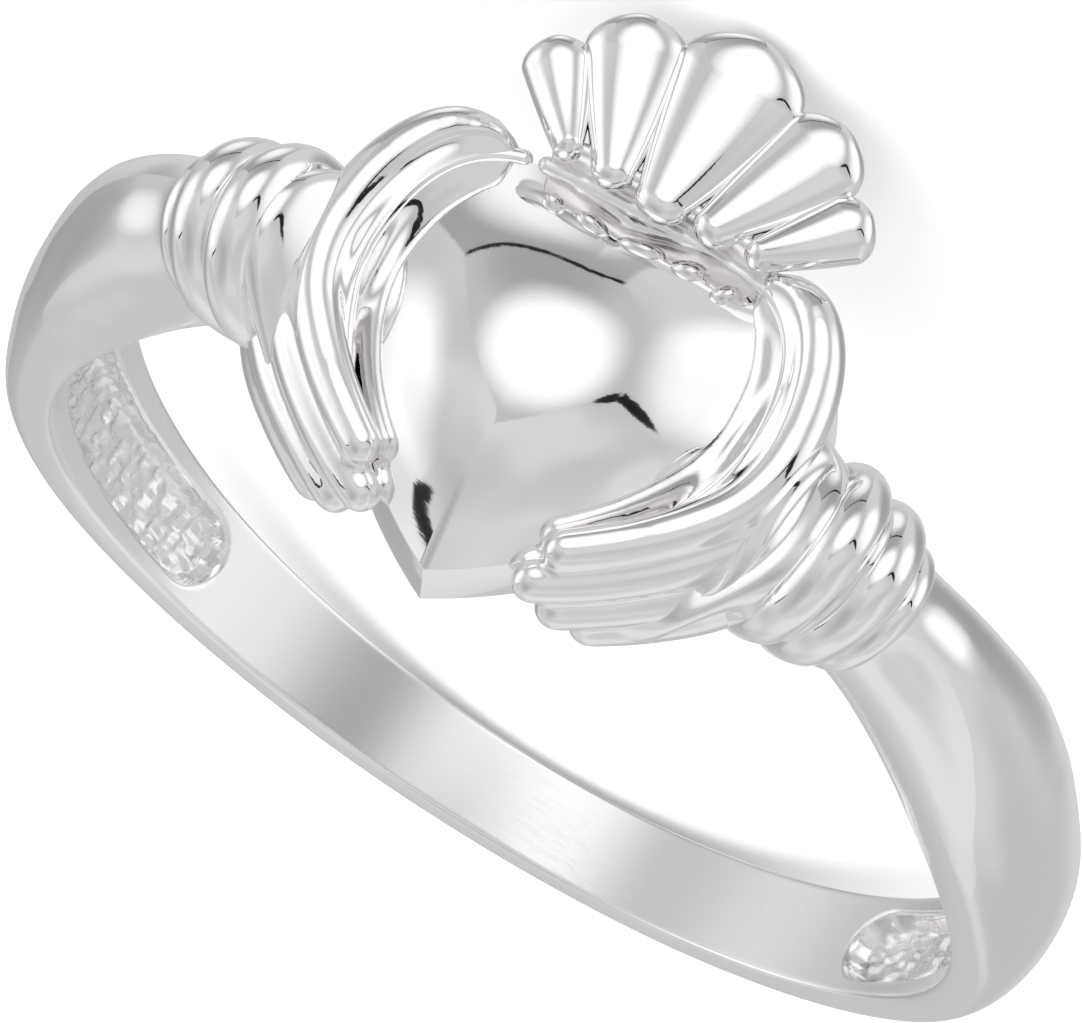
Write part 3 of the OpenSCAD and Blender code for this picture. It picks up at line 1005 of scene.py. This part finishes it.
@dataclass
class Crown:
    """A fan of five flared lobes over a headband with a row of beads at its foot."""

    bore_r: float
    rim_level: float
    reach: float = 6.49
    foot: float = 3.42
    fan_depth: float = 2.27
    lift: float = 2.5
    flare: float = 0.18
    lobe_t: float = 0.88
    bulb: float = 0.8
    tip_round: float = 0.75
    tip_full: float = 0.42
    root_w: float = 0.42
    root_t: float = 0.7
    headband_l: float = 3.9
    headband_t: float = 0.4
    headband_sink: float = 0.5
    headband_under: float = 0.3
    headband_back: float = 0.45
    bow: float = 0.1
    beads: int = 9
    strip_d: float = 0.33
    strip_rise: float = 0.12
    strip_out: float = 0.1
    bead_share: float = 0.05
    dull: float = 1.2

    LOBES = [[-37, 0.89, 0.11, 0.25], [-21.5, 0.96, 0.155, 0.1], [0, 1, 0.205, 0], [21.5, 0.96, 0.155, 0.1],
             [37, 0.89, 0.11, 0.25]]

    def lobe(self, angle: float, share: float, width: float, drop: float) -> BMesh:
        """One lobe of the fan.

        Args:
            angle: degrees from the middle lobe.
            share: its reach, as a share of the middle lobe's.
            width: half its width, as a share of the fan's reach.
            drop: how much lower its tip lies.

        Returns:
            Its mesh.
        """
        centre = self.foot - self.fan_depth
        full = self.reach - centre
        a = math.radians(angle)
        foot = (self.foot - centre) / math.cos(a)
        half = width * full
        end = share * full - self.tip_round * half
        s = np.linspace(0, 1, 40)
        r = foot + (end - foot) * s
        thick = self.lobe_t * (self.root_t + (1 - self.root_t) * s)
        wide = half * (self.root_w + (1 - self.root_w) * s ** 0.9)
        face = self.bore_r + self.lift + self.flare * s * s - drop * s
        path = np.stack([r * math.sin(a), face - thick / 2, -centre - r * math.cos(a)], 1)
        path, wide, thick = with_round_end(path[::-1], wide[::-1], thick[::-1], self.bulb)
        path, wide, thick = path[::-1], wide[::-1], thick[::-1]
        ahead = unit(path[-1] - path[-2])
        q = np.radians(np.linspace(0, 90, 13)[1:])
        q[-1] -= 1e-4
        path = np.vstack([path, path[-1] + np.outer(self.tip_round * half * np.sin(q), ahead)])
        wide = np.concatenate([wide, wide[-1] * np.cos(q)])
        thick = np.concatenate([thick, thick[-1] * np.cos(q) ** self.tip_full])
        return draped(bar(path, wide, thick / 2, (0, 1, 0), 40))

    def headband(self) -> BMesh:
        """The wall under the lobes' feet."""
        half, count = self.headband_l / 2, 80
        low = self.rim_level - self.headband_sink
        high = self.bore_r + self.lift - self.headband_under
        x = np.linspace(-half, half, count)
        back = self.bend(x) - self.headband_back * self.headband_t
        path = np.stack([x, np.full(count, (low + high) / 2), back], 1)
        return draped(bar(path, np.full(count, self.headband_t / 2), np.full(count, (high - low) / 2),
                          (0, 1, 0), 40, 0.8))

    def bend(self, x: np.ndarray) -> np.ndarray:
        """Z of the crown's foot at places along X."""
        return -self.foot + self.bow * (2 * x / self.headband_l) ** 2

    def strip(self) -> BMesh:
        """The low beaded strip between the headband and the heart."""
        half, count = self.headband_l / 2, 330
        x = np.linspace(-half, half, count)
        swell = 1 + self.bead_share * np.cos(math.pi * self.beads * (x / half))
        level = np.full(count, self.rim_level + self.strip_rise)
        path = np.stack([x, level, self.bend(x) + self.strip_out], 1)
        r = swell * self.strip_d / 2
        return draped(bar(*with_round_ends(path, r, r), (0, 1, 0), 28))

    def build(self, setting: Setting) -> list[bpy.types.Object]:
        """Makes the crown.

        Args:
            setting: where the pieces go.

        Returns:
            The fan, and the headband with its strip.
        """
        fan = merged([self.lobe(*row) for row in self.LOBES])
        band = merged([self.headband(), self.strip()])
        satin = band.verts.layers.float.new("satin")
        for vert in band.verts:
            vert[satin] = self.dull
        return [setting.finish(fan, "crown"), setting.finish(band, "headband")]


# ---- Studio


@dataclass
class Camera:
    """A long lens at the angle from which the ring was photographed."""

    place: Placement
    position: Triple = (26.56, 137.67, 45.88)
    right: Triple = (0.8492, 0.0126, -0.5278)
    down: Triple = (0.4941, -0.3714, 0.7861)
    focal_px: float = 9000.0
    sensor_mm: float = 36.0

    def build(self) -> bpy.types.Object:
        """Makes the camera and looks through it.

        Returns:
            The camera.
        """
        data = bpy.data.cameras.new("camera")
        data.sensor_width = self.sensor_mm
        data.lens = self.focal_px / IMAGE[0] * self.sensor_mm
        data.clip_start = 0.01
        camera = bpy.data.objects.new("camera", data)
        bpy.context.scene.collection.objects.link(camera)
        turn = Matrix.Rotation(self.place.tilt, 3, "X")
        right = (turn @ Vector(self.right)).normalized()
        up = -(turn @ Vector(self.down))
        up = (up - right * up.dot(right)).normalized()
        back = right.cross(up)
        camera.matrix_world = Matrix((
            (right.x, up.x, back.x, 0), (right.y, up.y, back.y, 0), (right.z, up.z, back.z, 0), (0, 0, 0, 1)))
        camera.location = self.place.matrix() @ Vector(self.position)
        bpy.context.scene.camera = camera
        log.info("camera at %s", tuple(round(c, 4) for c in camera.location))
        return camera


@dataclass(frozen=True)
class Glow:
    """A bright patch on a panel of the light tent, round a direction."""

    towards: Triple
    inner: float
    outer: float
    gain: float


@dataclass(frozen=True)
class Panel:
    """A cloth panel of the light tent: how bright it is, and where a lamp shines through."""

    level: float
    glows: tuple[Glow, ...]


@dataclass(frozen=True)
class Seam:
    """A dark gap between two panels.

    width is half its angle at the start, in degrees, and thin is the share of that at its end.
    """

    start: Triple
    end: Triple
    width: float
    thin: float
    depth: float = 0.97


@dataclass
class LightTent:
    """A white box of soft light round the ring.

    Directions are given as the camera sees them: right, up and towards the camera. The panel over
    the ring is the roof, with a back panel behind it, a front panel below the camera and two sides.
    """

    camera: bpy.types.Object
    room: float = 2.0
    uneven: float = 0.2
    soft: float = 0.012
    side_soft: float = 0.05
    cloth_scale: float = 1.7
    wobble_scale: float = 9.0
    wobble: float = 0.02
    seam_edge: float = 0.3
    seam_end: float = 0.004
    back_left: Triple = (-0.38, 0.92, -0.02)
    back_right: Triple = (0.43, 0.90, 0.04)
    front_right: Triple = (0.60, 0.28, 0.75)
    front_left: Triple = (-0.23, 0.13, 0.96)
    far_left: Triple = (-0.46, 0.79, -0.40)
    far_right: Triple = (0.36, 0.71, -0.60)
    low_right: Triple = (0.76, -0.61, 0.22)
    low_left: Triple = (-0.98, -0.15, 0.15)
    roof: Panel = Panel(0.68, (Glow((0.10, 0.66, 0.74), 10, 33, 0.8), Glow((0.06, 0.99, 0.16), 4, 26, -0.2)))
    back: Panel = Panel(0.5, (Glow((0.03, 0.92, -0.40), 2, 22, 0.6), Glow((0.1, -0.1, -1.0), 30, 80, 0.25)))
    front: Panel = Panel(0.79, (Glow((0.0, -1.0, 0.0), 20, 70, 0.1), Glow((-0.66, -0.5, 0.56), 5, 32, -0.18)))
    left: Panel = Panel(0.8, (Glow((-0.93, 0.35, 0.08), 6, 38, 0.6), Glow((-0.66, -0.5, 0.56), 5, 32, -0.18),
                               Glow((-0.6, 0.1, -0.8), 5, 36, -0.3)))
    right: Panel = Panel(0.76, (Glow((0.95, 0.22, 0.22), 6, 34, 0.7), Glow((0.75, 0.2, -0.62), 5, 30, -0.26)))

    def seams(self) -> tuple[Seam, ...]:
        """The dark gaps that the silver mirrors."""
        return (
            Seam(self.back_right, self.back_left, 1.2, 0.75),
            Seam(self.front_right, (0.86, -0.32, 0.40), 2.7, 0.0),
            Seam(self.front_right, (0.32, 0.26, 0.91), 2.3, 0.0),
            Seam((-0.975, -0.21, 0.08), (-0.84, -0.16, 0.52), 1.5, 0.0),
        )

    def direction(self, seen: Sequence[float]) -> Vector:
        """Turns a direction seen by the camera into one of the part's frame."""
        return (self.camera.matrix_world.to_3x3() @ Vector(seen)).normalized()

    def build(self) -> bpy.types.World:
        """Makes the tent as the world's light.

        Returns:
            The world.
        """
        world = bpy.data.worlds.new("tent")
        bpy.context.scene.world = world
        world.use_nodes = True
        shade = Shading(world.node_tree)
        sky = shade.value("ShaderNodeTexCoord", "Generated")

        def along(towards: Vector) -> Socket:
            """How far a direction of the sky follows another."""
            return shade.value("ShaderNodeVectorMath", "Value", {"operation": "DOT_PRODUCT"},
                               {0: sky, 1: towards})

        def beyond(start: Sequence[float], end: Sequence[float], inside: Sequence[float]) -> Socket:
            """The share of the sky beyond the plane through two directions, seen from inside."""
            normal = self.direction(start).cross(self.direction(end)).normalized()
            if normal.dot(self.direction(inside)) > 0:
                normal.negate()
            return along(normal).ramp(-self.soft, self.soft)

        def lit(panel: Panel) -> Socket | float:
            """A panel's brightness over the sky."""
            light: Socket | float = panel.level
            for glow in panel.glows:
                near = along(self.direction(glow.towards)).ramp(
                    math.cos(math.radians(glow.outer)), math.cos(math.radians(glow.inner)))
                light = light + glow.gain * near
            return light

        middle = (0.0, 0.85, 0.52)
        behind = beyond(self.back_left, self.back_right, middle)
        before = beyond(self.front_left, self.front_right, middle)
        leftwards = beyond(self.back_left, self.front_left, middle)
        rightwards = beyond(self.back_right, self.front_right, middle)
        roof = (1 - behind) * (1 - before) * (1 - leftwards) * (1 - rightwards)
        past_back = (0.0, 0.5, -0.8)
        back = behind * (1 - beyond(self.back_left, self.far_left, past_back))
        back = back * (1 - beyond(self.back_right, self.far_right, past_back))
        past_front = (0.0, -0.6, 0.8)
        front = before * (1 - beyond(self.front_left, self.low_left, past_front))
        front = front * (1 - beyond(self.front_right, self.low_right, past_front))
        rest = ((1 - roof) * (1 - back)) * (1 - front)
        to_right = along(self.direction((1, 0, 0))).ramp(-self.side_soft, self.side_soft)
        light = rest * (to_right * lit(self.right) + (1 - to_right) * lit(self.left))
        light = light + back * lit(self.back) + front * lit(self.front)
        cloth = shade.noise(sky, self.cloth_scale, 0.5).ramp(0.34, 0.66)
        light = light * (1 - self.uneven / 2 + self.uneven * cloth) + roof * lit(self.roof)
        wobble = shade.noise(sky, self.wobble_scale, 3.0)
        for seam in self.seams():
            start, end = self.direction(seam.start), self.direction(seam.end)
            normal = start.cross(end).normalized()
            centre = (start + end).normalized()
            reach, whole = start.dot(centre), start.dot(end)
            off = along(normal) + self.wobble * (wobble - 0.5)
            half = math.sin(math.radians(seam.width))
            near_start = along(start).ramp(whole, 1.0)
            width = (seam.thin + (1 - seam.thin) * near_start * near_start) * half
            near = (width * width - off * off).ramp(0.0, self.seam_edge * half * half)
            between = along(centre).ramp(reach - self.seam_end, reach + self.seam_end)
            light = light * (1 - seam.depth * near * between)
        glossy = shade.node("ShaderNodeLightPath").outputs["Is Glossy Ray"]
        tent = shade.node("ShaderNodeBackground", None, {"Strength": light})
        room = shade.node("ShaderNodeBackground", None, {"Strength": self.room})
        both = shade.node("ShaderNodeMixShader", None,
                          {0: glossy, 1: room.outputs[0], 2: tent.outputs[0]})
        shade.node("ShaderNodeOutputWorld", None, {"Surface": both.outputs[0]})
        return world


@dataclass
class Floor:
    """The pale sheet under the ring."""

    size: float = 6.0

    def build(self) -> bpy.types.Object:
        """Makes the floor.

        Returns:
            The floor.
        """
        bm = bmesh.new()
        bmesh.ops.create_grid(bm, x_segments=8, y_segments=8, size=self.size / 2)
        mesh = bpy.data.meshes.new("floor")
        bm.to_mesh(mesh)
        bm.free()
        mesh.materials.append(PalePaper().make())
        floor = bpy.data.objects.new("floor", mesh)
        bpy.context.scene.collection.objects.link(floor)
        floor.visible_glossy = False
        return floor


def main() -> None:
    """Builds the ring, its floor, light and camera."""
    logging.basicConfig(level=logging.INFO, format="%(name)s: %(message)s")
    place = Placement.from_record(frame["record"])
    setting = Setting(place, PolishedSilver().make())
    shank = Shank(place.bore_r)
    heart = Heart(place.bore_r, HeartOutline())
    shank.build(setting)
    heart.build(setting)
    for side in Side:
        Cuff(shank, side).build(setting)
        Hand(heart, side).build(setting)
    Crown(place.bore_r, heart.rim_level).build(setting)
    Floor().build()
    camera = Camera(place).build()
    LightTent(camera).build()
    bpy.context.scene.view_settings.view_transform = "Standard"


if __name__ == "__main__":
    main()
